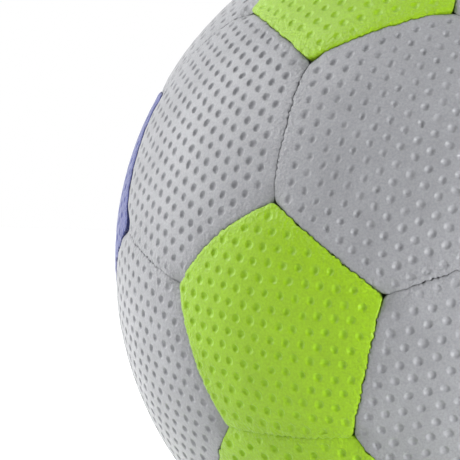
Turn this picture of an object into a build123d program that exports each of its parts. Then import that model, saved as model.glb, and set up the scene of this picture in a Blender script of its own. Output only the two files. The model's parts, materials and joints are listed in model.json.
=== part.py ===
from build123d import *
from itertools import combinations
import math
import os

# A stitched handball: crowned cover panels with turned-in edges round a rubber bladder with its valve.
# The layout is the truncated icosahedron: twelve pentagons and twenty hexagons, all seams of one length.
# The origin is the ball's centre and +Z runs out through the valve, with the front of the ball towards -Y.
# The round of each panel is made of small flats that touch it.

os.makedirs("parts", exist_ok=True)

# Driving dimensions, in millimetres
ball_diameter = 175.0  # across the crowns of two opposite panels
crown_drop = 0.5  # how far a panel's corners lie below the round of the ball
edge_round = 2.4  # radius at which a panel's face rolls over into its seam
corner_cut = 1.0  # from the point where three seams meet to the flat across a panel's corner
skin_thickness = 1.4  # synthetic leather, also in the edges turned into the seams
foam_thickness = 2.4
lining_thickness = 0.8  # woven textile
glue_line = 0.1  # between the bonded layers of a panel
thread_thickness = 0.6
thread_width = 1.4
thread_depth = 3.2  # from the round of the ball to the top of the thread
thread_clearance = 0.1  # on each side of the thread, between two panels
thread_end = 1.2  # from the point where three seams meet to the end of a thread
bladder_wall = 1.0
bladder_clearance = 0.2  # between the bladder and the lining
valve_stem_diameter = 8.4
valve_stem_chamfer = 0.6
valve_flange_diameter = 20.0
valve_flange_thickness = 1.0
valve_clearance = 0.3  # round the stem
valve_recess = 0.4  # from the round of the ball down to the top of the stem
core_diameter = 5.0
core_collar_diameter = 7.0
core_collar_thickness = 1.5
core_recess = 0.5  # from the top of the stem down to the top of the core
core_clearance = 0.05
needle_diameter = 2.0  # the hollow needle of a common ball pump
needle_clearance = 0.1

# How finely the flats follow the round
outer_rings = 3  # rings of flats round the middle one on a panel's face
inner_rings = 1  # the same on the layers behind it
flats_along_edge = 3
thread_runs = 2  # straight runs in one seam's thread

# Sizes that follow from those
ball_radius = ball_diameter / 2
seam_gap = thread_thickness + 2 * thread_clearance
foam_top = ball_radius - skin_thickness - glue_line
lining_top = foam_top - foam_thickness - glue_line
lining_bottom = lining_top - lining_thickness
bladder_radius = lining_bottom - bladder_clearance
valve_seat = bladder_radius - valve_flange_thickness
stem_top = ball_radius - valve_recess
core_top = stem_top - core_recess
collar_top = valve_seat - bladder_wall
core_bottom = collar_top - core_collar_thickness
stem_hole_radius = valve_stem_diameter / 2 + valve_clearance
core_hole_radius = core_diameter / 2 + core_clearance
needle_hole_radius = needle_diameter / 2 + needle_clearance

# Numbers of the layout itself
PENTAGON = 5
HEXAGON = 6
GOLDEN = (1 + math.sqrt(5)) / 2
SEAM = 4 / math.sqrt(58 + 18 * math.sqrt(5))  # a seam's length, for corners at distance 1
HALF_SEAM = math.asin(SEAM / 2)  # half the angle that a seam spans at the centre
ROW_BREAK = 0.5  # height between the outer and the inner rows of panels, for a ball of radius 1
UP = Vector(0, 0, 1)


# The layout: directions from the ball's centre


def pentagon_axes():
    """The twelve vertices of an icosahedron that stands on a face, in rows of three from the top down."""
    narrow = 1 / (math.sin(math.radians(72)) * math.sqrt(3))
    rows = [(narrow, 1, 0), (GOLDEN * narrow, 1, 60), (GOLDEN * narrow, -1, 0), (narrow, -1, 60)]
    for radius, sign, turn in rows:
        for step in range(3):
            height = sign * math.sqrt(1 - radius**2)
            yield Vector(0, -radius, height).rotate(Axis.Z, turn + 120 * step)


def neighbours(one, other):
    """Whether two pentagons are joined by a seam between hexagons: only those lean to the same side."""
    return one.dot(other) > 0


def seam_corner(near, far):
    """The point where three seams meet beside the pentagon near, on the way to the pentagon far."""
    return (near * 2 + far).normalized()


def panel_place(axis, beside):
    """A panel's own frame: z along its axis, x towards the panel beside."""
    return Plane(origin=(0, 0, 0), x_dir=beside - axis * beside.dot(axis), z_dir=axis)


def seam_place(start, end):
    """A seam's own frame: x through the seam's middle, y along it, z across it."""
    return Plane(origin=(0, 0, 0), x_dir=start + end, z_dir=start.cross(end))


def panel_name(shape, axis):
    """A name by row, and by the clock as seen from above, with the front of the ball at 6."""
    if axis.Z > 0:
        row = "top" if axis.Z > ROW_BREAK else "upper"
    else:
        row = "bottom" if axis.Z < -ROW_BREAK else "lower"
    hour = round(math.degrees(math.atan2(axis.X, axis.Y)) / 30) % 12 or 12
    return f"{row}_{shape}_{hour}_oclock"


# The form of a panel, in its own frame


def corner_angle(sides):
    """Angle at the ball's centre from a panel's middle to its corner."""
    return math.asin(SEAM / (2 * math.sin(math.pi / sides)))


def side_angle(sides):
    """Angle at the ball's centre from a panel's middle to the middle of a side."""
    return math.atan(math.tan(corner_angle(sides)) * math.cos(math.pi / sides))


def crown_radius(sides):
    """Radius of the dome that meets the ball at a panel's middle and drops below it at the corners."""
    reach = ball_radius * math.sin(corner_angle(sides))
    rise = ball_radius * (1 - math.cos(corner_angle(sides))) + crown_drop
    return (reach**2 + rise**2) / (2 * rise)


def outward(angle):
    """Normal of a plane through the ball's centre that leans from the panel's axis to +X by angle."""
    return Vector(math.cos(angle), 0, -math.sin(angle))


def turned(vector, sides):
    """A vector repeated for each side of a panel."""
    return [vector.rotate(Axis.Z, side * 360 / sides) for side in range(sides)]


def side_walls(sides, inset):
    """Planes of a panel's sides, set in from the middle of its seams."""
    for normal in turned(outward(side_angle(sides)), sides):
        yield Plane(origin=normal * -inset, z_dir=normal)


def corner_flats(sides, inset):
    """Planes across a panel's corners."""
    for normal in turned(outward(corner_angle(sides)).rotate(Axis.Z, 180 / sides), sides):
        yield Plane(origin=normal * -(inset + corner_cut), z_dir=normal)


def dome_flats(sides, top, crown, rings):
    """Planes that touch a dome of height top and radius crown: one in the middle, then rings round it."""
    directions = [UP]
    pitch = corner_angle(sides) / (rings + 1 / 2)
    for ring in range(1, rings + 1):
        corners = turned(Vector(ring * pitch, 0).rotate(Axis.Z, 180 / sides), sides)
        for start, end in zip(corners, corners[1:] + corners[:1]):
            for step in range(ring):
                spot = start + (end - start) * (step / ring)
                tilt = math.sin(spot.length) / spot.length
                directions.append(spot * tilt + UP * math.cos(spot.length))
    for direction in directions:
        yield Plane(origin=UP * (top - crown) + direction * crown, z_dir=direction)


def edge_flats(sides, top, crown, inset):
    """Planes that bevel a dome's edge, a few along each side, touching a round of radius edge_round."""
    out = outward(side_angle(sides))
    middle = Vector(math.sin(side_angle(sides)), 0, math.cos(side_angle(sides)))
    centre = UP * (top - crown)
    for step in range(flats_along_edge):
        along = HALF_SEAM * ((2 * step + 1) / flats_along_edge - 1)
        ray = middle * math.cos(along) + Vector(0, math.sin(along), 0)
        rise = centre.dot(ray)
        edge = ray * (rise + math.sqrt(rise**2 + crown**2 - centre.length**2)) - out * inset
        upward = (edge - centre).normalized()
        slant = (upward + out).normalized()
        touch = edge - slant * (edge_round * (1 / upward.dot(slant) - 1))
        for place, normal in zip(turned(touch, sides), turned(slant, sides)):
            yield Plane(origin=place, z_dir=normal)


def wedge(sides, top, crown, inset, rings, rounded=False):
    """The sector of the ball under one panel, as tall as top along the panel's axis."""
    cuts = [*side_walls(sides, inset), *dome_flats(sides, top, crown, rings)]
    if rounded:
        cuts += [*corner_flats(sides, inset), *edge_flats(sides, top, crown, inset)]
    with BuildPart() as sector:
        with BuildSketch():
            Rectangle(ball_diameter, ball_diameter)
        extrude(amount=ball_diameter)
        for cut in cuts:
            split(bisect_by=cut, keep=Keep.BOTTOM)
    return sector.part


def inside(sides, radius):
    """The sector of the ball behind a panel's back, wider than the panel, to cut the back with."""
    return wedge(sides, radius, radius, -edge_round, inner_rings)


def cover_skin(sides):
    """A panel's leather: a domed tray whose edges are turned in and stand in the seams."""
    crown = crown_radius(sides)
    hollow = (ball_radius - skin_thickness, crown - skin_thickness, seam_gap / 2 + skin_thickness)
    with BuildPart() as skin:
        add(wedge(sides, ball_radius, crown, seam_gap / 2, outer_rings, rounded=True))
        add(wedge(sides, *hollow, inner_rings), mode=Mode.SUBTRACT)
        add(inside(sides, lining_bottom), mode=Mode.SUBTRACT)
    return skin.part


def backing(sides, top, crown, bottom):
    """A layer bonded inside a panel's leather, between its turned-in edges."""
    with BuildPart() as layer:
        add(wedge(sides, top, crown, seam_gap / 2 + skin_thickness + glue_line, inner_rings))
        add(inside(sides, bottom), mode=Mode.SUBTRACT)
    return layer.part


def foam_backing(sides):
    """The foam behind a panel's leather."""
    return backing(sides, foam_top, crown_radius(sides) - skin_thickness - glue_line, lining_top + glue_line)


def lining_backing(sides):
    """The textile behind a panel's foam."""
    return backing(sides, lining_top, lining_top, lining_bottom)


def pierced(layer):
    """A layer of the valve's panel, with the hole that the valve's stem comes through."""
    with BuildPart() as holed:
        add(layer)
        with Locations((0, 0, ball_radius)):
            Hole(stem_hole_radius)
    return holed.part


def copies(piece, places):
    """Copies of one piece in several places, as separate solids of one node."""
    with BuildPart() as group:
        with Locations(*[place.location for place in places]):
            add(piece, clean=False)
    return group.part


def write(piece, name):
    """Labels a finished piece and writes it as a file of that name."""
    piece.label = name
    export_step(piece, f"parts/{name}.step")


# The seams and panels of the whole ball

axes = list(pentagon_axes())
pairs = [(a, b) for a, b in combinations(axes, 2) if neighbours(a, b)]
trios = [t for t in combinations(axes, 3) if all(neighbours(a, b) for a, b in combinations(t, 2))]
hexagon_axes = [(a + b + c).normalized() for a, b, c in trios]
pentagon_places = []
for axis in axes:
    beside = next(h for h, trio in zip(hexagon_axes, trios) if axis in trio)
    pentagon_places.append(panel_place(axis, beside))
hexagon_places = [panel_place(h, trio[0]) for h, trio in zip(hexagon_axes, trios)]
valve_place, *plain_places = sorted(hexagon_places, key=lambda place: place.z_dir.Z, reverse=True)
base_place = plain_places[-1]
hexagon_seams = [seam_place(seam_corner(a, b), seam_corner(b, a)) for a, b in pairs]
pentagon_seams = []
for trio in trios:
    for axis in trio:
        one, other = [a for a in trio if a is not axis]
        pentagon_seams.append(seam_place(seam_corner(axis, one), seam_corner(axis, other)))

# Cover panels, one node each

pentagon_skin = cover_skin(PENTAGON)
for place in pentagon_places:
    with BuildPart(place) as panel:
        add(pentagon_skin)
    write(panel.part, panel_name("pentagon", place.z_dir))

hexagon_skin = cover_skin(HEXAGON)
for place in plain_places:
    with BuildPart(place) as panel:
        add(hexagon_skin)
    write(panel.part, "base_hexagon" if place is base_place else panel_name("hexagon", place.z_dir))

with BuildPart(valve_place) as valve_panel:
    add(pierced(hexagon_skin))
write(valve_panel.part, "valve_hexagon")

# Foam and lining, bonded in the panels

hexagon_foam = foam_backing(HEXAGON)
hexagon_lining = lining_backing(HEXAGON)
write(copies(foam_backing(PENTAGON), pentagon_places), "pentagon_foam")
write(copies(hexagon_foam, plain_places), "hexagon_foam")
write(copies(pierced(hexagon_foam), [valve_place]), "valve_hexagon_foam")
write(copies(lining_backing(PENTAGON), pentagon_places), "pentagon_lining")
write(copies(hexagon_lining, plain_places), "hexagon_lining")
write(copies(pierced(hexagon_lining), [valve_place]), "valve_hexagon_lining")

# Thread, one length in each seam, flat between the turned-in edges of two panels

thread_span = HALF_SEAM - thread_end / ball_radius
thread_angles = [thread_span * (2 * step / thread_runs - 1) for step in range(thread_runs + 1)]
thread_top = ball_radius - thread_depth
thread_bottom = thread_top - thread_width
with BuildPart() as thread:
    with BuildSketch():
        with BuildLine():
            rim = [Vector(math.cos(a), math.sin(a)) for a in thread_angles]
            near_side = [ray * thread_top for ray in rim]
            far_side = [ray * thread_bottom for ray in reversed(rim)]
            Polyline(near_side + far_side, close=True)
        make_face()
    extrude(amount=thread_thickness / 2, both=True)
write(copies(thread.part, pentagon_seams), "pentagon_seam_thread")
write(copies(thread.part, hexagon_seams), "hexagon_seam_thread")

# Bladder: a hollow ball of flats with a level seat for the valve


def bladder_form(radius, seat):
    """A ball of flats with its corners on radius, cut level at the height seat."""
    rays = axes + hexagon_axes + [place.x_dir for place in pentagon_seams + hexagon_seams]
    rays += [seam_corner(a, b) for a, b in pairs] + [seam_corner(b, a) for a, b in pairs]
    with BuildPart() as form:
        ConvexPolyhedron([ray * radius for ray in rays])
        split(bisect_by=Plane.XY.offset(seat), keep=Keep.BOTTOM)
    return form.part


with BuildPart() as bladder:
    add(bladder_form(bladder_radius, valve_seat))
    add(bladder_form(bladder_radius - bladder_wall, valve_seat - bladder_wall), mode=Mode.SUBTRACT)
    with Locations((0, 0, valve_seat)):
        Hole(core_hole_radius, bladder_wall)
write(bladder.part, "bladder")

# Valve: a rubber stem with a flange that is bonded to the bladder, and the core that is pushed into it

with BuildPart() as valve_stem:
    with BuildSketch(Plane.XY.offset(valve_seat)):
        Circle(valve_flange_diameter / 2)
    extrude(amount=valve_flange_thickness)
    with BuildSketch(Plane.XY.offset(valve_seat)):
        Circle(valve_stem_diameter / 2)
    extrude(amount=stem_top - valve_seat)
    chamfer(valve_stem.faces().sort_by(Axis.Z)[-1].edges(), valve_stem_chamfer)
    with Locations((0, 0, stem_top)):
        Hole(core_hole_radius)
write(valve_stem.part, "valve_stem")

with BuildPart() as valve_core:
    with BuildSketch(Plane.XY.offset(core_bottom)):
        Circle(core_collar_diameter / 2)
    extrude(amount=core_collar_thickness)
    with BuildSketch(Plane.XY.offset(core_bottom)):
        Circle(core_diameter / 2)
    extrude(amount=core_top - core_bottom)
    with Locations((0, 0, core_top)):
        Hole(needle_hole_radius)
write(valve_core.part, "valve_core")
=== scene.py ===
import json
import math
from itertools import combinations

import bpy
import numpy as np
from mathutils import Matrix, Vector, noise
from mathutils.geometry import delaunay_2d_cdt


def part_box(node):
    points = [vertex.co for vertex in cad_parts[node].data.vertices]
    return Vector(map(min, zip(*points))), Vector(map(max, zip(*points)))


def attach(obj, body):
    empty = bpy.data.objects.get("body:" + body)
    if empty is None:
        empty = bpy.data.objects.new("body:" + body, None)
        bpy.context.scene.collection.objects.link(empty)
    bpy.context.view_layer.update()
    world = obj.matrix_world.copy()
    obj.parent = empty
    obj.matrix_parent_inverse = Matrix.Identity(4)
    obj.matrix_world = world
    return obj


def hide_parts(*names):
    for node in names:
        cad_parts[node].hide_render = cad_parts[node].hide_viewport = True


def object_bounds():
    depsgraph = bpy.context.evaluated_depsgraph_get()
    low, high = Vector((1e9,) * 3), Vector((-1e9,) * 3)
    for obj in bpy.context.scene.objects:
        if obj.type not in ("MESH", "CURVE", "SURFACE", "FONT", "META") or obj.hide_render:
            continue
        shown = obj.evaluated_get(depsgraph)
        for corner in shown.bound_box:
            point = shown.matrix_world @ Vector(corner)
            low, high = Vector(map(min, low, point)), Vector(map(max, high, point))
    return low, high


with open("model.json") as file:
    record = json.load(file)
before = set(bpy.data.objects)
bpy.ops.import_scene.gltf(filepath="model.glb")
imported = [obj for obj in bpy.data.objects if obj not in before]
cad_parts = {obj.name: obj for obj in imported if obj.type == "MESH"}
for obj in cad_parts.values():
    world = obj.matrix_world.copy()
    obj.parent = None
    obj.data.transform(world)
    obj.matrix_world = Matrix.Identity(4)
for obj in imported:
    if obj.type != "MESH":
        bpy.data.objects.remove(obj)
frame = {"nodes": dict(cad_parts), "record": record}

# A stitched handball with dimpled leather panels, in metres, round the solids of the frame.
# Each panel is made on a plane that touches the ball at the panel's middle: seen from the centre of
# the ball, seams are straight lines there. A depth is measured from a panel's dome towards the centre.

cad_low, cad_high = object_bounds()
mm = 0.001

# Sizes read from the frame
ball_radius = (cad_high.z - cad_low.z) / 2
foam_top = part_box("valve_hexagon_foam")[1].z
lining_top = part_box("valve_hexagon_lining")[1].z
bladder_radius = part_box("bladder")[1].x
stem_low, stem_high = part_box("valve_stem")
core_low, core_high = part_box("valve_core")

# Cover
crown_drop = 0.3 * mm  # of a panel's corners below the round of the ball
skin_thickness = 1.4 * mm
skin_depth = 4.8 * mm  # of the turned-in edges
edge_width = 1.2 * mm  # of the rolled edge
edge_drop = 0.3 * mm  # of the rolled edge, where two colours meet
plain_edge_drop = 0.2 * mm  # of the rolled edge, between panels of one colour
corner_round = 2.1 * mm  # of a panel's outline
corner_sink = {"pentagon": 0.2 * mm, "hexagon": 1.0 * mm}  # of the leather at a panel's corner
corner_reach = 3.0 * mm
tuck_depth = 0.35 * mm  # of a hexagon's edge under a pentagon's
deep_tuck = {  # where the photograph shows more
    ("lower_hexagon_7_oclock", "lower_pentagon_6_oclock"): 0.8 * mm,
}
tuck_reach = 2.5 * mm
seam_closed = 0.01 * mm  # from a seam's middle to the leather, at a stitch
seam_open = 0.03 * mm  # the same half way between two stitches
seam_foot = 0.40 * mm  # the same at the thread
stitches = 7  # in one seam
pucker_depth = 0.14 * mm
pucker_reach = 1.6 * mm
tooth_depth = 0.34 * mm  # of the small gathers along the edge
tooth_size = 0.8 * mm
tooth_patch = 5.0 * mm  # of the stretches with and without them
tooth_cover = 0.4  # how much of the edge has them: 0 is half of it, 1 nearly all
tooth_contrast = 2.0  # between stretches with and without them
tooth_gain = 3.0  # how steep they are
tooth_floor = 0.2  # taken off them, so that the slightest leave no mark
bead_gap = 0.12 * mm  # of the gathers between panels of one colour
bead_sink = 0.35 * mm  # of the same gathers
bead_pitch = 1.7 * mm
bead_patch = 6.0 * mm  # of the stretches where they are strong or weak
bead_strength = 0.6  # on the whole
bead_spread = 1.5  # of their strength
least_bead = 0.15
seam_stray = 0.3 * mm  # from a straight line
stray_size = 3.0 * mm
seam_notch = 0.45 * mm  # the same, in small notches
notch_size = 0.8 * mm
seam_end = 0.9  # share of a seam, from its middle, where its bulge and its straying end
wrinkle_depth = 0.09 * mm
wrinkle_size = 2.2 * mm
wrinkle_reach = 4.0 * mm  # from a seam
swell_depth = 0.05 * mm  # of the panels' unevenness
swell_size = 9.0 * mm
rim_spacing = 0.36 * mm  # of the columns round a panel
rim_corner_steps = 9
rim_evened = 4  # columns to either side over which the edge's drop is evened out
edge_angles = (12, 25, 38, 51, 64, 77, 90)  # in degrees, of the rows over the rolled edge
seam_shade_power = 10  # how closely the painted shade keeps to the seam
foot_share = 0.6  # of the edge's depth, where it has drawn back to its foot
back_rings = (1.0, 0.7, 0.4)  # on the panel's back, as shares of its width

# Leather's surface
patch_size = 9 * mm  # of paler and duller patches
patch_pale = 1.05  # of the colour
patch_dull = 0.93
speck_size = 0.55 * mm
speck_dark = 0.4  # of the colour
speck_share = 0.3  # of that dark, at most
gloss_size = 1.2 * mm  # of duller and glossier spots
roughness_low = 0.32
roughness_high = 0.44
pore_size = 0.42 * mm
pore_depth = 0.04 * mm
grain_size = 0.9 * mm
grain_depth = 0.08 * mm
relief_strength = 0.6
crumple_size = 0.9 * mm
crumple_depth = 0.5 * mm  # at a seam
leather_specular = 0.3

# Dimples
dimple_pitch = 4.2 * mm
dimple_radius = 1.05 * mm
dimple_depth = {"grey_leather": 0.54 * mm, "green_leather": 0.43 * mm, "blue_leather": 0.43 * mm}
# shares of the radius and the depth, from the middle outwards
dimple_profile = [(0.38, 0.93), (0.68, 0.68), (0.90, 0.26), (1.06, 0.02), (1.3, 0.0)]
dimple_corners = 14
dimple_margin = 1.6 * mm  # from a seam to the nearest dimple's middle
dimple_fade = 3.2 * mm  # from a seam to the first dimple of full depth
faint_dimple = 0.5  # share of the depth that is left next to a seam
place_spread = 0.03  # of dimples, as a share of the pitch
depth_spread = 0.07
width_spread = 0.05
oval_spread = 0.06
between_margin = edge_width + 0.7 * mm  # from a seam to the nearest point between dimples
spare_rows = 4  # beyond a panel's corners
widest = 1.2  # of the way to a panel's corner; places farther out are left off at once
same_place = 1e-9  # distance within which two points are one

# Numbers that set one kind of noise apart from another
noise_apart = 10.0
swell_noise = 0.5
patch_noise = 0.3
stray_row = 0.5
notch_row = 3.5
bead_row = 5.5

# Rows of dimples on the panels that the photograph shows: their pitch in millimetres and turn in
# degrees, and one dimple's place from the panel's middle, to the right and up as the camera sees it
seen_dimples = {
    "upper_hexagon_7_oclock": (4.00, 34.7, -0.06, -2.29),
    "upper_hexagon_5_oclock": (4.10, 21.4, 0.51, -4.61),
    "lower_hexagon_5_oclock": (4.30, 17.0, 0.58, -4.28),
    "lower_hexagon_7_oclock": (4.15, 37.2, -0.76, -3.55),
    "top_pentagon_6_oclock": (4.25, 23.7, 1.92, -4.93),
    "lower_pentagon_6_oclock": (4.05, 52.0, 2.44, -5.06),
}
dimple_share = {  # of the depth, on panels whose dimples look deeper or shallower in the photograph
    "upper_hexagon_7_oclock": 1.12,
    "lower_hexagon_7_oclock": 1.15,
    "lower_hexagon_5_oclock": 0.95,
    "top_pentagon_6_oclock": 0.8,
    "lower_pentagon_6_oclock": 1.1,
    "bottom_hexagon_6_oclock": 1.4,
}

# Seams that bulge in the photograph: how far their middle lies beyond a straight line, from the first
# panel towards the second
seam_bows = {
    ("lower_pentagon_6_oclock", "upper_hexagon_7_oclock"): 1.8 * mm,
    ("lower_pentagon_6_oclock", "lower_hexagon_7_oclock"): 0.8 * mm,
    ("upper_hexagon_7_oclock", "upper_pentagon_8_oclock"): 1.6 * mm,
}

# Layers behind the leather
glue_line = 0.1 * mm
lining_thickness = 0.8 * mm
thread_radius = 0.3 * mm
thread_depth = 3.7 * mm
thread_share = 0.94  # of a seam's length
thread_sway = 0.08 * mm  # from stitch to stitch
thread_dip = 0.3 * mm  # at a stitch
thread_steps = 16  # to a stitch
thread_corners = 8
layer_spacing = 2 * mm  # of the columns round a layer
layer_corner_steps = 4
layer_rings = (0.35, 0.7)  # as shares of its width
soft_edge = 0.3 * lining_thickness

# Bladder and valve
bladder_wall = 1.0 * mm
bladder_corners = 128
lower_rounds = 48  # of points on the bladder's outside, below its ridge
upper_rounds = 44
inner_rounds = 90
ridge_height = 0.1 * mm  # that the mould leaves round the bladder
ridge_foot = 0.6 * mm  # half its width
ridge_crest = 0.25 * mm
ridge_angle = 0.01  # in radians, from the ridge's middle to the plain round of the bladder
pole_angle = 0.02  # in radians, from the bladder's lowest point to the first round
stem_radius = 4.2 * mm
stem_play = 0.3 * mm
stem_hole = stem_radius + stem_play
hole_round = 0.7 * mm  # of the leather's edge at the hole
hole_lip = 0.3 * hole_round
hole_shade = 0.6  # how dark the painted shade makes the leather there
hole_margin = 2.7 * mm  # from the hole's wall to the nearest dimple's middle or point between dimples
plug_radius = 2.5 * mm
core_play = 0.05 * mm
core_hole = plug_radius + core_play
needle_hole = 1.1 * mm
funnel = 0.7 * mm
collar_height = 1.5 * mm
flange_height = 1.0 * mm
valve_corners = 96
stem_round = 0.5 * mm
core_round = 0.35 * mm

# The photograph's view, measured in its pixels
photo_size = 460
ball_centre_px = Vector((466.1, 263.2))
ball_outline_px = 352.6
camera_distance = 9 * ball_radius
camera_azimuth = math.radians(31.2)
camera_elevation = math.radians(1.2)
camera_roll = math.radians(2.2)

# Light
backdrop_level = 1.0
room_level = 0.16
room_end = -0.1  # cosine of the angle from the way that the camera looks
backdrop_start = 0.4  # the same
floor_glow = 0.75
floor_grey = 0.9
floor_radius = 6.0
floor_corners = 96
white = (1.0, 1.0, 1.0, 1.0)

# Numbers of the layout itself
PENTAGON = 5
HEXAGON = 6
SEAM = 4 / math.sqrt(58 + 18 * math.sqrt(5))  # a seam's length, for corners at distance 1
HALF_SEAM = math.asin(SEAM / 2)  # half the angle that a seam spans at the centre

nodes = frame["nodes"]
slots = {part["node"]: part["material_slot"] for part in frame["record"]["subparts"]}


# Materials


class Shader:
    """A node material under construction, on one principled surface."""

    def __init__(self, name):
        self.material = bpy.data.materials.new(name)
        self.material.use_nodes = True
        self.tree = self.material.node_tree
        self.surface = self.tree.nodes["Principled BSDF"]
        self.place = self.add("ShaderNodeTexCoord").outputs["Object"]

    def add(self, kind, settings=None, **inputs):
        """A node with these settings; an input is a value or the socket that feeds it."""
        made = self.tree.nodes.new(kind)
        for key, value in (settings or {}).items():
            setattr(made, key, value)
        for key, value in inputs.items():
            self.feed(made, key.replace("_", " "), value)
        return made

    def feed(self, node, key, value):
        socket = node.inputs[int(key)] if key.isdigit() else node.inputs[key]
        if isinstance(value, bpy.types.NodeSocket):
            self.tree.links.new(value, socket)
        else:
            socket.default_value = value

    def set(self, **inputs):
        """Feeds the surface itself."""
        for key, value in inputs.items():
            self.feed(self.surface, key.replace("_", " "), value)

    def noise(self, size, detail=2.0, roughness=0.5):
        """Noise whose grains are about size across."""
        return self.add("ShaderNodeTexNoise", Vector=self.place, Scale=1 / size, Detail=detail,
                        Roughness=roughness).outputs["Fac"]

    def cells(self, size):
        """Distance from the middle of grains about size across."""
        return self.add("ShaderNodeTexVoronoi", Vector=self.place, Scale=1 / size).outputs["Distance"]

    def span(self, value, low, high, start=0.0, end=1.0):
        """Maps start to end of a value on to low to high."""
        made = self.add("ShaderNodeMapRange", {"clamp": True}, Value=value)
        for key, number in (("From Min", start), ("From Max", end), ("To Min", low), ("To Max", high)):
            made.inputs[key].default_value = number
        return made.outputs["Result"]

    def mix(self, share, one, other):
        """A colour between two."""
        made = self.add("ShaderNodeMix", {"data_type": "RGBA"})
        for socket, value in zip((0, 6, 7), (share, one, other)):
            self.feed(made, str(socket), value)
        return made.outputs[2]

    def attribute(self, name):
        """A value kept on the mesh."""
        return self.add("ShaderNodeAttribute", {"attribute_name": name}).outputs["Fac"]

    def bump(self, height, depth, strength=1.0, normal=None):
        """A normal for a relief of that depth."""
        made = self.add("ShaderNodeBump", Height=height, Distance=depth, Strength=strength)
        if normal is not None:
            self.feed(made, "Normal", normal)
        return made.outputs["Normal"]


def linear(red, green, blue):
    """A colour as it is written on screen, from 0 to 255, in linear light."""
    channels = [c / 255 for c in (red, green, blue)]
    return [c / 12.92 if c <= 0.04045 else ((c + 0.055) / 1.055) ** 2.4 for c in channels] + [1.0]


def shade(colour, share):
    """A colour made darker, or lighter if the share is over 1."""
    return [c * share for c in colour[:3]] + [1.0]


def leather(name, face, pit, seam_shade=0.55, sheen=0.1):
    """Dimpled synthetic leather: specked and grained all over and crumpled at the seams, with painted
    shade in its dimples and down into its seams.
    """
    shader = Shader(name)
    patch = shader.span(shader.noise(patch_size), 0.0, 1.0, 0.3, 0.7)
    speck = shader.noise(speck_size, detail=2.0, roughness=0.6)
    speck = shader.span(speck, 0.0, speck_share, 0.32, 0.68)
    colour = shader.mix(patch, shade(face, patch_dull), shade(face, patch_pale))
    colour = shader.mix(speck, colour, shade(face, speck_dark))
    # painted shade: the colour darkens in the dimples, by the share of their depth
    colour = shader.mix(shader.attribute("pit"), colour, pit)
    # painted shade: the leather grows darker down the rolled edges into the seams, on the turned-in
    # backs and at the valve's hole
    colour = shader.mix(shader.attribute("seam"), colour, shade(face, seam_shade))
    rough = shader.span(shader.noise(gloss_size, detail=3.0), roughness_low, roughness_high, 0.3, 0.7)
    pores = shader.bump(shader.cells(pore_size), pore_depth, relief_strength)
    grain = shader.noise(grain_size, detail=4.0, roughness=0.65)
    grain = shader.bump(grain, grain_depth, relief_strength, pores)
    crumpled = shader.noise(crumple_size, detail=3.0)
    crumpled = shader.bump(crumpled, crumple_depth, shader.attribute("rim"), grain)
    shader.set(Base_Color=colour, Roughness=rough, Normal=crumpled, Specular_IOR_Level=leather_specular,
               Sheen_Weight=sheen)
    return shader.material


def foam(name, colour):
    """Open-celled foam, with painted shade in the middle of its cells."""
    cell_size = 0.35 * mm
    cell_depth = 0.12 * mm
    shader = Shader(name)
    cell = shader.cells(cell_size)
    wall = shader.span(cell, 0.0, 1.0, 0.0, 0.6)
    # painted shade: darker towards each cell's middle, where the relief lies lowest
    shader.set(Base_Color=shader.mix(wall, shade(colour, 0.7), colour), Roughness=0.95,
               Normal=shader.bump(cell, cell_depth))
    return shader.material


def weave(name, colour):
    """Plain woven textile, with painted shade between its yarns."""
    yarn_size = 3 * mm
    yarn_depth = 0.15 * mm
    shader = Shader(name)
    bands = []
    for direction in ("X", "Y"):
        wave = shader.add("ShaderNodeTexWave", {"bands_direction": direction}, Vector=shader.place,
                          Scale=1 / yarn_size, Distortion=0.6)
        bands.append(wave.outputs["Fac"])
    product = shader.add("ShaderNodeMath", {"operation": "MULTIPLY"}, **{"0": bands[0], "1": bands[1]})
    thread = product.outputs[0]
    # painted shade: darker where the yarns lie low
    shader.set(Base_Color=shader.mix(thread, shade(colour, 0.6), colour), Roughness=0.9,
               Normal=shader.bump(thread, yarn_depth))
    return shader.material


def twine(name, colour):
    """Waxed, twisted thread, with a painted highlight on its raised strands."""
    lay_size = 0.25 * mm
    lay_depth = 0.08 * mm
    shader = Shader(name)
    lay = shader.noise(lay_size, detail=1.0)
    # painted highlight: lighter where the strands stand highest
    shader.set(Base_Color=shader.mix(lay, colour, shade(colour, 1.8)), Roughness=0.6,
               Normal=shader.bump(lay, lay_depth))
    return shader.material


def rubber(name, colour):
    """Matt rubber with a dusty bloom."""
    bloom_size = 3 * mm
    pit_size = 0.3 * mm
    pit_depth = 0.02 * mm
    shader = Shader(name)
    bloom = shader.span(shader.noise(bloom_size, detail=4.0), 0.0, 1.0, 0.35, 0.75)
    pale = [c * 1.5 + 0.01 for c in colour[:3]] + [1.0]
    shader.set(Base_Color=shader.mix(bloom, colour, pale), Roughness=shader.span(bloom, 0.5, 0.7),
               Normal=shader.bump(shader.noise(pit_size), pit_depth, 0.6))
    return shader.material


materials = {
    # each leather's second colour is the painted shade in its dimples
    "grey_leather": leather("grey_leather", linear(160, 161, 165), linear(157, 158, 162)),
    "green_leather": leather("green_leather", linear(154, 199, 10), linear(147, 193, 7), seam_shade=0.8),
    "blue_leather": leather("blue_leather", linear(48, 62, 144), linear(38, 50, 126), sheen=0.3),
    "foam": foam("foam", linear(226, 224, 216)),
    "lining": weave("lining", linear(214, 208, 194)),
    "thread": twine("thread", linear(70, 70, 74)),
    "bladder": rubber("bladder", linear(62, 62, 64)),
    "valve_rubber": rubber("valve_rubber", linear(52, 52, 54)),
    "valve_core_rubber": rubber("valve_core_rubber", linear(96, 96, 98)),
}


# Making pieces


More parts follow.
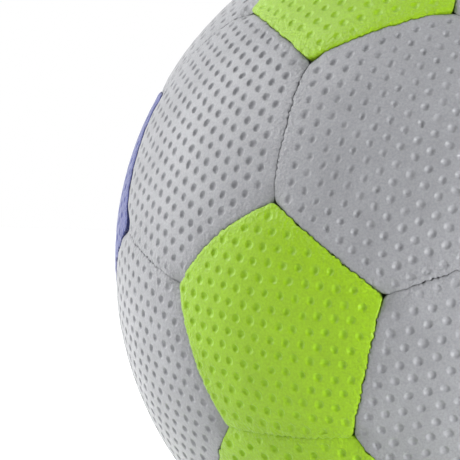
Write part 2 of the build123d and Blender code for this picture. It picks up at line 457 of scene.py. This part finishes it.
def piece(node, bodies, **values):
    """A smooth mesh that stands for a node, made of separate bodies, with values on its points."""
    points, faces = [], []
    for body_points, body_faces in bodies:
        first = len(points)
        points += np.asarray(body_points).tolist()
        faces += [[corner + first for corner in face] for face in body_faces]
    mesh = bpy.data.meshes.new(node)
    mesh.from_pydata(points, [], faces)
    mesh.shade_smooth()
    for name, numbers in values.items():
        kept = mesh.attributes.new(name, "FLOAT", "POINT")
        kept.data.foreach_set("value", np.asarray(numbers, np.float32))
    mesh.materials.append(materials[slots[node]])
    made = bpy.data.objects.new(f"{node}.look", mesh)
    bpy.context.scene.collection.objects.link(made)
    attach(made, "root")
    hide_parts(node)
    return made


def bridge(first, second):
    """Faces between two rounds of points, given by their numbers; a round of one point is a tip."""
    for i in range(max(len(first), len(second))):
        here, there = i % len(first), i % len(second)
        here_next, there_next = (here + 1) % len(first), (there + 1) % len(second)
        yield list(dict.fromkeys((first[here], second[there], second[there_next], first[here_next])))


def body(rows, closed=False):
    """Points and faces of a surface through rounds of points; closed joins its two ends."""
    numbers = []
    total = 0
    for row in rows:
        numbers.append(range(total, total + len(row)))
        total += len(row)
    if closed:
        numbers.append(numbers[0])
    faces = []
    for first, second in zip(numbers, numbers[1:]):
        faces += bridge(first, second)
    return np.concatenate(rows), faces


def turned(profile, corners):
    """Rounds of points about the Z axis, for pairs of radius and height that run anticlockwise."""
    angles = 2 * math.pi * np.arange(corners) / corners
    circle = np.column_stack([np.cos(angles), -np.sin(angles), np.zeros(corners)])
    return [np.array([(0.0, 0.0, z)]) if r == 0 else circle * r + (0, 0, z) for r, z in profile]


def rounded(corners, radius, steps=4):
    """A line through corners, as pairs of radius and height, with each inner corner rounded off."""
    most = 0.45  # of a stretch between two corners
    line = [corners[0]]
    for before, here, after in zip(corners, corners[1:], corners[2:]):
        to_before, to_after = (np.subtract(point, here) for point in (before, after))
        one = here + to_before * min(radius / np.linalg.norm(to_before), most)
        two = here + to_after * min(radius / np.linalg.norm(to_after), most)
        for share in np.linspace(0, 1, steps):
            bend = np.multiply(here, 2 * share * (1 - share))
            line.append(one * (1 - share) ** 2 + bend + two * share**2)
    return [tuple(float(number) for number in point) for point in line + [corners[-1]]]


# The layout


def unit(vector):
    return vector / np.linalg.norm(vector)


def panel_axis(node):
    """Direction from the ball's centre to the middle of a panel."""
    total = sum((face.area * face.center for face in nodes[node].data.polygons), Vector())
    return unit(np.array(total))


panels = [node for node in nodes if slots[node].endswith("leather")]
axes = {node: panel_axis(node) for node in panels}
pentagons = [node for node in panels if "pentagon" in node]
hexagons = [node for node in panels if "hexagon" in node]


def sides_of(node):
    return PENTAGON if node in pentagons else HEXAGON


def turning(node):
    """A panel's own frame, as columns: x towards the middle of a side, z along its axis."""
    others = hexagons if node in pentagons else pentagons
    z = axes[node]
    beside = axes[max(others, key=lambda other: axes[other] @ z)]
    x = unit(beside - z * (beside @ z))
    return np.column_stack([x, np.cross(z, x), z])


def camera_facing():
    """The camera's axes if it looked straight at the ball, as columns: right, up and back."""
    back = Vector((math.sin(camera_azimuth) * math.cos(camera_elevation),
                   -math.cos(camera_azimuth) * math.cos(camera_elevation), math.sin(camera_elevation)))
    return (-back).to_track_quat("-Z", "Y").to_matrix() @ Matrix.Rotation(camera_roll, 3, "Z")


facing = camera_facing()


def corner_angle(sides):
    """Angle at the ball's centre from a panel's middle to its corner."""
    return math.asin(SEAM / (2 * math.sin(math.pi / sides)))


def side_angle(sides):
    """Angle at the ball's centre from a panel's middle to the middle of a side."""
    return math.atan(math.tan(corner_angle(sides)) * math.cos(math.pi / sides))


def stretch(sides):
    """How much longer a short way across a seam is on the panel's plane than on the ball."""
    return 1 / math.cos(side_angle(sides)) ** 2


def on_plane(places):
    """Places measured over the round of the ball from a panel's middle, moved to the panel's plane."""
    angles = np.linalg.norm(places, axis=1) / ball_radius
    growth = np.divide(np.tan(angles), angles, out=np.ones_like(angles), where=angles > 0)
    return places * growth[:, None]


def dome(flat, sides):
    """Distance from the ball's centre to a panel's dome, seen through places on the panel's plane."""
    half = ball_radius * math.sin(corner_angle(sides))
    rise = ball_radius * (1 - math.cos(corner_angle(sides))) + crown_drop
    crown = (half**2 + rise**2) / (2 * rise)
    centre = ball_radius - crown
    upright = ball_radius / np.hypot(ball_radius, np.linalg.norm(flat, axis=1))
    return centre * upright + np.sqrt(crown**2 - centre**2 * (1 - upright**2))


def on_ball(node, flat, distance):
    """Points at a distance from the ball's centre, seen through places on a panel's plane."""
    rays = np.column_stack([flat, np.full(len(flat), ball_radius)])
    rays /= np.linalg.norm(rays, axis=1, keepdims=True)
    return rays * np.reshape(distance, (-1, 1)) @ turning(node).T


def across_side(node, side):
    """The panel across one of a panel's sides."""
    sides = sides_of(node)
    turn = 2 * math.pi * side / sides
    reach = math.tan(side_angle(sides))
    middle = turning(node) @ (reach * math.cos(turn), reach * math.sin(turn), 1.0)
    return max((other for other in panels if other != node), key=lambda other: axes[other] @ middle)


neighbours = {node: [across_side(node, side) for side in range(sides_of(node))] for node in panels}


def bow(node, other, share):
    """How far a seam bulges towards the panel across it."""
    reach = seam_bows.get((node, other), 0.0) - seam_bows.get((other, node), 0.0)
    return reach * np.clip(1 - (share / seam_end) ** 2, 0, 1)


def seams_from(node, flat):
    """For each place and each side: the distance to the seam, and the place along it from -1 to 1."""
    sides = sides_of(node)
    angles = 2 * math.pi * np.arange(sides) / sides
    out = np.array([np.cos(angles), np.sin(angles)])
    along = np.array([-np.sin(angles), np.cos(angles)])
    share = np.arctan(flat @ along * math.cos(side_angle(sides)) / ball_radius) / HALF_SEAM
    distance = (ball_radius * math.tan(side_angle(sides)) - flat @ out) / stretch(sides)
    for side, other in enumerate(neighbours[node]):
        distance[:, side] += bow(node, other, share[:, side])
    return distance, share


def stitch_wave(share):
    """1 at each stitch of a seam and -1 half way between two."""
    return np.cos(2 * math.pi * ((share + 1) / 2 * stitches - 1 / 2))


def waves(flat, size, number):
    """Smooth random heights from -1 to 1, about size across, different for each number."""
    return np.array([noise.noise((x / size, y / size, noise_apart * number)) for x, y in flat])


def slack(node, flat):
    """Depth by which the leather gives: at stitches, corners and tucks, in wrinkles and all over."""
    sides = sides_of(node)
    number = panels.index(node)
    distance, share = seams_from(node, flat)
    near = np.maximum(distance, 0)
    drawn = pucker_depth * (np.exp(-near / pucker_reach) * (1 + stitch_wave(share)) / 2).sum(axis=1)
    angles = 2 * math.pi * (np.arange(sides) + 1 / 2) / sides
    circle = np.column_stack([np.cos(angles), np.sin(angles)])
    corners = ball_radius * math.tan(corner_angle(sides)) * circle
    to_corner = np.linalg.norm(flat[:, None] - corners[None], axis=2).min(axis=1) / stretch(sides)
    kind = "pentagon" if node in pentagons else "hexagon"
    sunk = corner_sink[kind] * np.exp(-((to_corner / corner_reach) ** 2))
    for side, other in enumerate(neighbours[node]):
        if node in hexagons and other in pentagons:
            sunk += deep_tuck.get((node, other), tuck_depth) * np.exp(-near[:, side] / tuck_reach)
    wrinkled = np.exp(-near.min(axis=1) / wrinkle_reach) * waves(flat, wrinkle_size, number)
    swollen = waves(flat, swell_size, number + swell_noise)
    return drawn + sunk + wrinkle_depth * wrinkled + swell_depth * swollen


def along_seam(node, other, share):
    """Places along a seam, the same from both panels, its number, and a sign for the panel."""
    one, two = panels.index(node), panels.index(other)
    sign = 1 if one < two else -1
    along = sign * np.asarray(share) * HALF_SEAM * ball_radius
    return along, float(min(one, two) * len(panels) + max(one, two)), sign


def seam_noise(along, size, row, number):
    """Smooth random numbers along a seam; each row and each seam's number gives others."""
    return np.array([noise.noise((place / size, row, number)) for place in along])


def seam_fade(share):
    """1 along most of a seam and 0 at its ends."""
    return np.clip(1 - (np.asarray(share) / seam_end) ** 4, 0, 1)


def wander(node, other, share):
    """How far a seam strays from its line towards the panel across it; the same from either side."""
    along, number, sign = along_seam(node, other, share)
    strays = seam_stray * seam_noise(along, stray_size, stray_row, number)
    strays += seam_notch * seam_noise(along, notch_size, notch_row, number)
    return sign * strays * seam_fade(share)


def beads(node, other, share):
    """How far a seam between panels of one colour is gathered, from 0 to 1, alike from either side."""
    along, number, _ = along_seam(node, other, share)
    uneven = seam_noise(along, bead_patch, bead_row, number)
    wave = np.cos(2 * math.pi * (along / bead_pitch + uneven))
    strength = np.clip(bead_strength + bead_spread * uneven, least_bead, 1) * seam_fade(share)
    return strength * np.clip(wave, 0, 1)


# A panel of the cover


class Rim:
    """Columns of places round a panel, from a wall that stands inset from the seams."""

    def __init__(self, node, inset, spacing, corner_steps, stray=False):
        self.sides = sides = sides_of(node)
        inner = ball_radius * math.tan(side_angle(sides)) - (inset + corner_round) * stretch(sides)
        half = inner * math.tan(math.pi / sides)
        steps = round(2 * half / spacing)
        starts, ways, own_sides = [], [], []
        for side in range(sides):
            turn = 2 * math.pi * side / sides
            out = np.array([math.cos(turn), math.sin(turn)])
            along = np.array([-math.sin(turn), math.cos(turn)])
            for step in range(steps):
                starts.append(inner * out + half * (2 * step / steps - 1) * along)
                ways.append(out)
            for step in range(corner_steps):
                angle = turn + 2 * math.pi / sides * step / corner_steps
                starts.append(inner * out + half * along)
                ways.append((math.cos(angle), math.sin(angle)))
            own_sides += [side] * (steps + corner_steps)
        self.starts = np.array(starts)
        self.ways = np.array(ways)
        self.own_sides = np.array(own_sides)
        self.count = len(starts)
        _, shares = seams_from(node, self.starts)
        self.share = shares[np.arange(self.count), self.own_sides]
        self.stray = np.zeros(self.count)
        for side, other in enumerate(neighbours[node]):
            on_side = self.own_sides == side
            self.stray[on_side] = bow(node, other, self.share[on_side])
            if stray:
                self.stray[on_side] += wander(node, other, self.share[on_side])

    def at(self, outset=0.0):
        """The places, moved out from the wall."""
        reach = corner_round + np.asarray(outset) + self.stray
        return self.starts + self.ways * reach[:, None] * stretch(self.sides)


def dimple_rows(node, random):
    """Pitch, turn and start of a panel's rows of dimples in its own frame."""
    if node not in seen_dimples:
        return dimple_pitch, random.uniform(0, math.pi / 3), random.uniform(-0.5, 0.5, 2) * dimple_pitch
    pitch, turn, across, up = seen_dimples[node]
    own = turning(node)
    rise = np.array(facing.col[1])
    rise = unit(rise - axes[node] * (axes[node] @ rise))
    right = np.cross(rise, axes[node]) @ own
    lean = math.atan2(right[1], right[0])
    start = np.array([across * math.cos(lean) - up * math.sin(lean),
                      across * math.sin(lean) + up * math.cos(lean)])
    return pitch * mm, math.radians(turn) + lean, start * mm


def dimple_lattice(node, random):
    """Middles of a panel's dimples, and the points between them, measured over the ball."""
    pitch, turn, start = dimple_rows(node, random)
    reach = int(ball_radius * corner_angle(sides_of(node)) / pitch) + spare_rows
    steps = np.arange(-reach, reach + 1)
    across, up = (grid.ravel() for grid in np.meshgrid(steps, steps))
    spots = np.column_stack([across + up / 2, up * math.sqrt(3) / 2])
    between = np.concatenate([spots + (1 / 2, math.sqrt(3) / 6), spots + (1, math.sqrt(3) / 3)])
    rotation = np.array([[math.cos(turn), math.sin(turn)], [-math.sin(turn), math.cos(turn)]])
    spots = (spots + random.normal(0, place_spread, spots.shape)) @ rotation * pitch + start
    return spots, between @ rotation * pitch + start


def covered_by(node, places, margin, hole):
    """The places that lie on the panel, at least margin from its seams and clear of its hole."""
    size = np.linalg.norm(places, axis=1)
    near = size < widest * ball_radius * corner_angle(sides_of(node))
    distance, _ = seams_from(node, on_plane(np.where(near[:, None], places, 0)))
    kept = near & (distance.min(axis=1) > margin)
    if hole:
        kept &= size > hole + hole_margin
    return places[kept]


def panel_face(node, edge, hole_edge, hole, random):
    """Places, depths, pits and triangles of a panel's face inside its edge."""
    spots, between = dimple_lattice(node, random)
    spots = covered_by(node, spots, dimple_margin, hole)
    between = covered_by(node, between, between_margin, hole)
    distance, _ = seams_from(node, on_plane(spots))
    full = np.clip((distance.min(axis=1) - dimple_margin) / (dimple_fade - dimple_margin), 0, 1)
    deep = (faint_dimple + (1 - faint_dimple) * full) * random.normal(1, depth_spread, len(spots))
    wide = random.normal(1, width_spread, len(spots))
    oval = random.normal(0, oval_spread, len(spots))
    lean = random.uniform(0, math.pi, len(spots))
    angles = 2 * math.pi * np.arange(dimple_corners) / dimple_corners
    circle = np.column_stack([np.cos(angles), np.sin(angles)])
    reach = wide[:, None] * (1 + oval[:, None] * np.cos(2 * (angles - lean[:, None]))) * dimple_radius
    places, pits = [on_plane(spots)], [deep]
    for size, depth in dimple_profile:
        ring = spots[:, None, :] + circle[None] * reach[:, :, None] * size
        places.append(on_plane(ring.reshape(-1, 2)))
        pits.append(np.repeat(deep * depth, dimple_corners))
    free = np.concatenate([edge, hole_edge, on_plane(between)])
    flat = np.concatenate([free, *places])
    pit = np.concatenate([np.zeros(len(free)), *pits])
    loops = [list(range(len(edge)))]
    if hole:
        loops.append(list(range(len(edge), len(edge) + len(hole_edge))))
    inside_loops = 1  # the kind of triangles that are asked for
    corners = [Vector(place) for place in flat]
    found, _, faces, sources, _, _ = delaunay_2d_cdt(corners, [], loops, inside_loops, same_place)
    assert len(found) == len(flat), "two places of a panel's face fall together"
    triangles = [tuple(sources[i][0] for i in face) for face in faces]
    if hole:  # the hole itself stays open
        round_hole = set(loops[1])
        triangles = [triangle for triangle in triangles if not round_hole.issuperset(triangle)]
    used, numbers = np.unique(np.array(triangles), return_inverse=True)
    flat, pit = flat[used], pit[used]
    depth = pit * dimple_depth[slots[node]] * dimple_share.get(node, 1.0) + slack(node, flat)
    return flat, depth, pit, numbers.reshape(-1, 3).tolist()


def seam_edge(node, rim):
    """How far a panel's edge is held back from its seam, and how far it drops into it."""
    number = panels.index(node)
    patches = waves(rim.at(), tooth_patch, number + patch_noise)
    ragged = np.clip(tooth_cover + tooth_contrast * patches, 0, 1)
    teeth = np.clip(tooth_gain * waves(rim.at(), tooth_size, number) - tooth_floor, 0, 1)
    opened = (seam_open - seam_closed) * (1 - stitch_wave(rim.share)) / 2
    back_off = opened + tooth_depth * ragged * teeth
    drop = np.full(rim.count, edge_drop)
    gathered = np.zeros(rim.count)
    for side, other in enumerate(neighbours[node]):
        on_side = rim.own_sides == side
        if slots[other] == slots[node]:
            gathered[on_side] = beads(node, other, rim.share[on_side])
            back_off[on_side] = bead_gap * gathered[on_side]
            drop[on_side] = plain_edge_drop
    steps = range(-rim_evened, rim_evened + 1)
    drop = sum(np.roll(drop, step) for step in steps) / len(steps)
    return back_off, drop + bead_sink * gathered


def edge_rows(node, rim, circle, hole):
    """Rows from the face over the edge to the back: places, distances from the centre, and how strongly
    painted shade darkens them.
    """
    sides = sides_of(node)
    back_off, drop = seam_edge(node, rim)
    rows = []
    for angle in np.radians(edge_angles):
        place = rim.at(-edge_width * (1 - math.sin(angle)) - back_off * math.sin(angle) ** 2)
        sunk = drop * (1 - math.cos(angle)) + slack(node, place)
        # the painted shade grows steeply towards the bottom of the roll
        rows.append((place, dome(place, sides) - sunk, math.sin(angle) ** seam_shade_power))
    foot = rim.at(seam_closed - seam_foot)
    inner = rim.at(seam_closed - seam_foot - skin_thickness)
    rows.append((foot, dome(foot, sides) - foot_share * skin_depth, 1.0))
    rows.append((foot, np.full(rim.count, ball_radius - skin_depth), 1.0))
    rows.append((inner, np.full(rim.count, ball_radius - skin_depth), 1.0))
    for share in back_rings:
        rows.append((inner * share, dome(inner * share, sides) - skin_thickness, 1.0))
    if hole:
        for radius, sunk in ((hole, skin_thickness), (hole, hole_round), (hole + hole_lip, hole_lip)):
            rows.append((circle * radius, dome(circle * radius, sides) - sunk, hole_shade))
    else:
        rows.append((np.zeros((1, 2)), np.array([ball_radius - skin_thickness]), 1.0))
    return rows


def cover_panel(node, random, hole=0.0):
    """One panel: a dimpled face that rolls over into the seams, with its edges turned in."""
    sides = sides_of(node)
    rim = Rim(node, seam_closed, rim_spacing, rim_corner_steps, stray=True)
    edge = rim.at(-edge_width)
    circle = edge / np.linalg.norm(edge, axis=1, keepdims=True)
    hole_edge = circle * (hole + hole_round) if hole else np.zeros((0, 2))
    flat, depth, pit, faces = panel_face(node, edge, hole_edge, hole, random)
    rows = edge_rows(node, rim, circle, hole)
    ring = list(range(rim.count))
    total = len(flat)
    for place, _, _ in rows:
        following = list(range(total, total + len(place)))
        faces += bridge(ring, following)
        ring = following
        total += len(place)
    if hole:
        faces += bridge(ring, list(range(rim.count, 2 * rim.count)))
    places = np.concatenate([flat] + [place for place, _, _ in rows])
    distance = np.concatenate([dome(flat, sides) - depth] + [reach for _, reach, _ in rows])
    # how strongly painted shade darkens each point: not at all on the face, most in the seams and on the
    # back
    seam = np.concatenate([np.zeros(len(flat))] + [np.full(len(place), seam_shade_share) for place, _, seam_shade_share in rows])
    # the share of a dimple's depth at each point, which sets the painted shade in the dimples
    pits = np.concatenate([np.clip(pit, 0, 1), np.zeros(len(seam) - len(pit))])
    near, _ = seams_from(node, places)
    edge_wear = np.exp(-np.maximum(near.min(axis=1), 0) / wrinkle_reach)
    return piece(node, [(on_ball(node, places, distance), faces)], pit=pits, seam=seam, rim=edge_wear)


for number, node in enumerate(panels):
    random = np.random.default_rng(number)
    cover_panel(node, random, hole=stem_hole if node == "valve_hexagon" else 0.0)


# Layers behind the leather


def backing(node, top, bottom, hole=0.0):
    """A layer behind one panel; top and bottom give its distance from the ball's centre."""
    sides = sides_of(node)
    rim = Rim(node, seam_foot + skin_thickness + glue_line, layer_spacing, layer_corner_steps)
    circle = rim.at() / np.linalg.norm(rim.at(), axis=1, keepdims=True)
    middle = [circle * hole] if hole else [np.zeros((1, 2))]
    outer = middle + [rim.at() * share for share in layer_rings] + [rim.at(-soft_edge)]
    rows = [on_ball(node, place, top(place, sides)) for place in outer]
    rows.append(on_ball(node, rim.at(), top(rim.at(), sides) - soft_edge))
    rows.append(on_ball(node, rim.at(), bottom(rim.at(), sides) + soft_edge))
    rows += [on_ball(node, place, bottom(place, sides)) for place in reversed(outer)]
    return body(rows, closed=bool(hole))


def foam_face(place, sides):
    return dome(place, sides) - (ball_radius - foam_top)


def foam_back(place, sides):
    return np.full(len(place), lining_top + glue_line)


def lining_face(place, sides):
    return np.full(len(place), lining_top)


def lining_back(place, sides):
    return np.full(len(place), lining_top - lining_thickness)


plain_hexagons = [node for node in hexagons if node != "valve_hexagon"]
for group, members, hole in (("pentagon", pentagons, 0.0), ("hexagon", plain_hexagons, 0.0),
                             ("valve_hexagon", ["valve_hexagon"], stem_hole)):
    pad = piece(f"{group}_foam", [backing(node, foam_face, foam_back, hole) for node in members])
    piece(f"{group}_lining", [backing(node, lining_face, lining_back, hole) for node in members])


# Thread


def seam_thread(start, end):
    """One run of thread along a seam between two directions, drawn in at each stitch."""
    across = unit(np.cross(start, end))
    middle = unit(start + end)
    along = np.cross(across, middle)
    one, two = sorted(panels, key=lambda node: -(axes[node] @ middle))[:2]
    if axes[two] @ across < 0:
        one, two = two, one
    angles = 2 * math.pi * np.arange(thread_corners) / thread_corners
    rows = []
    for share in np.linspace(-thread_share, thread_share, thread_steps * stitches + 1):
        ray = middle * math.cos(share * HALF_SEAM) + along * math.sin(share * HALF_SEAM)
        sway = math.cos(math.pi * ((share + 1) / 2 * stitches - 1 / 2))
        aside = thread_sway * sway + bow(one, two, share) + wander(one, two, [-share])[0]
        centre = ray * (ball_radius - thread_depth - thread_dip * sway**2) + across * aside
        circle = np.outer(np.cos(angles), across) - np.outer(np.sin(angles), ray)
        rows.append(centre + thread_radius * circle)
    tips = [np.array([rows[i].mean(axis=0)]) for i in (0, -1)]
    return body([tips[0]] + rows + [tips[1]])


def seam_corner(near, far):
    """The point where three seams meet beside one pentagon, on the way to another."""
    return unit(2 * axes[near] + axes[far])


joined = [(a, b) for a, b in combinations(pentagons, 2) if axes[a] @ axes[b] > 0]
hexagon_seams = [(seam_corner(a, b), seam_corner(b, a)) for a, b in joined]
pentagon_seams = []
for middle in pentagons:
    beside = [other for pair in joined if middle in pair for other in pair if other != middle]
    for a, b in combinations(beside, 2):
        if (a, b) in joined or (b, a) in joined:
            pentagon_seams.append((seam_corner(middle, a), seam_corner(middle, b)))
piece("pentagon_seam_thread", [seam_thread(*seam) for seam in pentagon_seams])
piece("hexagon_seam_thread", [seam_thread(*seam) for seam in hexagon_seams])


# Bladder and valve


def ball_arc(radius, start, end, steps):
    """Pairs of radius and height on a ball, between two angles from its lowest point."""
    return [(radius * math.sin(a), -radius * math.cos(a)) for a in np.linspace(start, end, steps)]


seat = stem_low.z
inner_radius = bladder_radius - bladder_wall
seat_angle = math.acos(-seat / bladder_radius)
inner_seat_angle = math.acos(-(seat - bladder_wall) / inner_radius)
crest_radius = bladder_radius + ridge_height
outside = [(0.0, -bladder_radius)]
outside += ball_arc(bladder_radius, pole_angle, math.pi / 2 - ridge_angle, lower_rounds)
outside += [(bladder_radius, -ridge_foot), (crest_radius, -ridge_crest)]
outside += [(crest_radius, ridge_crest), (bladder_radius, ridge_foot)]
outside += ball_arc(bladder_radius, math.pi / 2 + ridge_angle, seat_angle, upper_rounds)
outside += [(core_hole, seat)]
inside = [(core_hole, seat - bladder_wall)]
inside += ball_arc(inner_radius, inner_seat_angle, pole_angle, inner_rounds) + [(0.0, -inner_radius)]
piece("bladder", [body(turned(outside + inside, bladder_corners))])

flange_radius = stem_high.x
flange_top = seat + flange_height
stem_top = stem_high.z
stem_line = rounded([(core_hole, seat), (flange_radius, seat), (flange_radius, flange_top),
                     (stem_radius, flange_top), (stem_radius, stem_top), (core_hole, stem_top),
                     (core_hole, seat)], stem_round)
piece("valve_stem", [body(turned(stem_line[:-1], valve_corners), closed=True)])

collar_radius = core_high.x
collar_top = core_low.z + collar_height
core_line = rounded([(needle_hole, core_low.z), (collar_radius, core_low.z), (collar_radius, collar_top),
                     (plug_radius, collar_top), (plug_radius, core_high.z),
                     (needle_hole + funnel, core_high.z), (needle_hole, core_high.z - funnel),
                     (needle_hole, core_low.z)], core_round)
piece("valve_core", [body(turned(core_line[:-1], valve_corners), closed=True)])


# Camera, light and floor


def place_camera():
    """The photograph's camera: it looks past the ball, which is cut by the edge of the picture."""
    data = bpy.data.cameras.new("camera")
    focal_px = ball_outline_px * math.sqrt((camera_distance / ball_radius) ** 2 - 1)
    data.sensor_width = 36.0
    data.lens = data.sensor_width * focal_px / photo_size
    data.clip_end = 100.0
    aside = Vector((ball_centre_px.x - photo_size / 2, photo_size / 2 - ball_centre_px.y, -focal_px))
    aim = facing @ aside.rotation_difference(Vector((0, 0, -1))).to_matrix()
    camera = bpy.data.objects.new("camera", data)
    camera.matrix_world = Matrix.Translation(facing.col[2] * camera_distance) @ aim.to_4x4()
    bpy.context.scene.collection.objects.link(camera)
    bpy.context.scene.camera = camera


def soft_box(name, azimuth, height, distance, size, power):
    """A square light that faces the ball, at an azimuth counted from the camera's."""
    data = bpy.data.lights.new(name, "AREA")
    data.size = size
    data.energy = power
    angle = camera_azimuth + math.radians(azimuth)
    place = Vector((math.sin(angle) * distance, -math.cos(angle) * distance, height))
    lamp = bpy.data.objects.new(name, data)
    lamp.location = place
    lamp.rotation_euler = (-place).to_track_quat("-Z", "Y").to_euler()
    bpy.context.scene.collection.objects.link(lamp)


def largest(tree, one, other):
    """The larger of two values, in a node tree."""
    made = tree.nodes.new("ShaderNodeMath")
    made.operation = "MAXIMUM"
    tree.links.new(one, made.inputs[0])
    tree.links.new(other, made.inputs[1])
    return made.outputs[0]


def seen_rays(tree):
    """1 for what the camera sees, also in a reflection or through glass, and 0 for light on the ball."""
    rays = tree.nodes.new("ShaderNodeLightPath").outputs
    seen = largest(tree, rays["Is Camera Ray"], rays["Is Glossy Ray"])
    return largest(tree, seen, rays["Is Transmission Ray"])


def light_world():
    """White light from behind the ball and a dim room before it; the camera sees white all round."""
    world = bpy.data.worlds.new("surround")
    bpy.context.scene.world = world
    world.use_nodes = True
    tree = world.node_tree
    away = tree.nodes.new("ShaderNodeVectorMath")
    away.operation = "DOT_PRODUCT"
    away.inputs[1].default_value = (-math.sin(camera_azimuth), math.cos(camera_azimuth), 0.0)
    tree.links.new(tree.nodes.new("ShaderNodeTexCoord").outputs["Generated"], away.inputs[0])
    level = tree.nodes.new("ShaderNodeMapRange")
    level.interpolation_type = "SMOOTHSTEP"
    for key, number in (("From Min", room_end), ("From Max", backdrop_start),
                        ("To Min", room_level), ("To Max", backdrop_level)):
        level.inputs[key].default_value = number
    tree.links.new(away.outputs["Value"], level.inputs["Value"])
    background = tree.nodes["Background"]
    background.inputs["Color"].default_value = white
    strength = largest(tree, level.outputs["Result"], seen_rays(tree))
    tree.links.new(strength, background.inputs["Strength"])


def lay_floor():
    """A white floor that shows pale, with the ball's shadow."""
    angles = 2 * math.pi * np.arange(floor_corners) / floor_corners
    points = [(floor_radius * math.cos(a), floor_radius * math.sin(a), cad_low.z) for a in angles]
    mesh = bpy.data.meshes.new("floor")
    mesh.from_pydata(points, [], [list(range(floor_corners))])
    material = bpy.data.materials.new("floor")
    material.use_nodes = True
    tree = material.node_tree
    surface = tree.nodes["Principled BSDF"]
    surface.inputs["Base Color"].default_value = (floor_grey, floor_grey, floor_grey, 1.0)
    surface.inputs["Roughness"].default_value = 0.9
    surface.inputs["Emission Color"].default_value = white
    strength = tree.nodes.new("ShaderNodeMapRange")
    strength.inputs["To Max"].default_value = floor_glow
    tree.links.new(seen_rays(tree), strength.inputs["Value"])
    tree.links.new(strength.outputs["Result"], surface.inputs["Emission Strength"])
    mesh.materials.append(material)
    floor = bpy.data.objects.new("floor", mesh)
    bpy.context.scene.collection.objects.link(floor)


place_camera()
soft_box("left_light", azimuth=-100, height=0.5, distance=1.2, size=1.0, power=12.6)
soft_box("right_light", azimuth=50, height=0.0, distance=1.2, size=0.4, power=18.3)
soft_box("top_light", azimuth=-85, height=1.0, distance=0.8, size=0.6, power=5.0)
light_world()
lay_floor()
bpy.context.scene.view_settings.view_transform = "Standard"
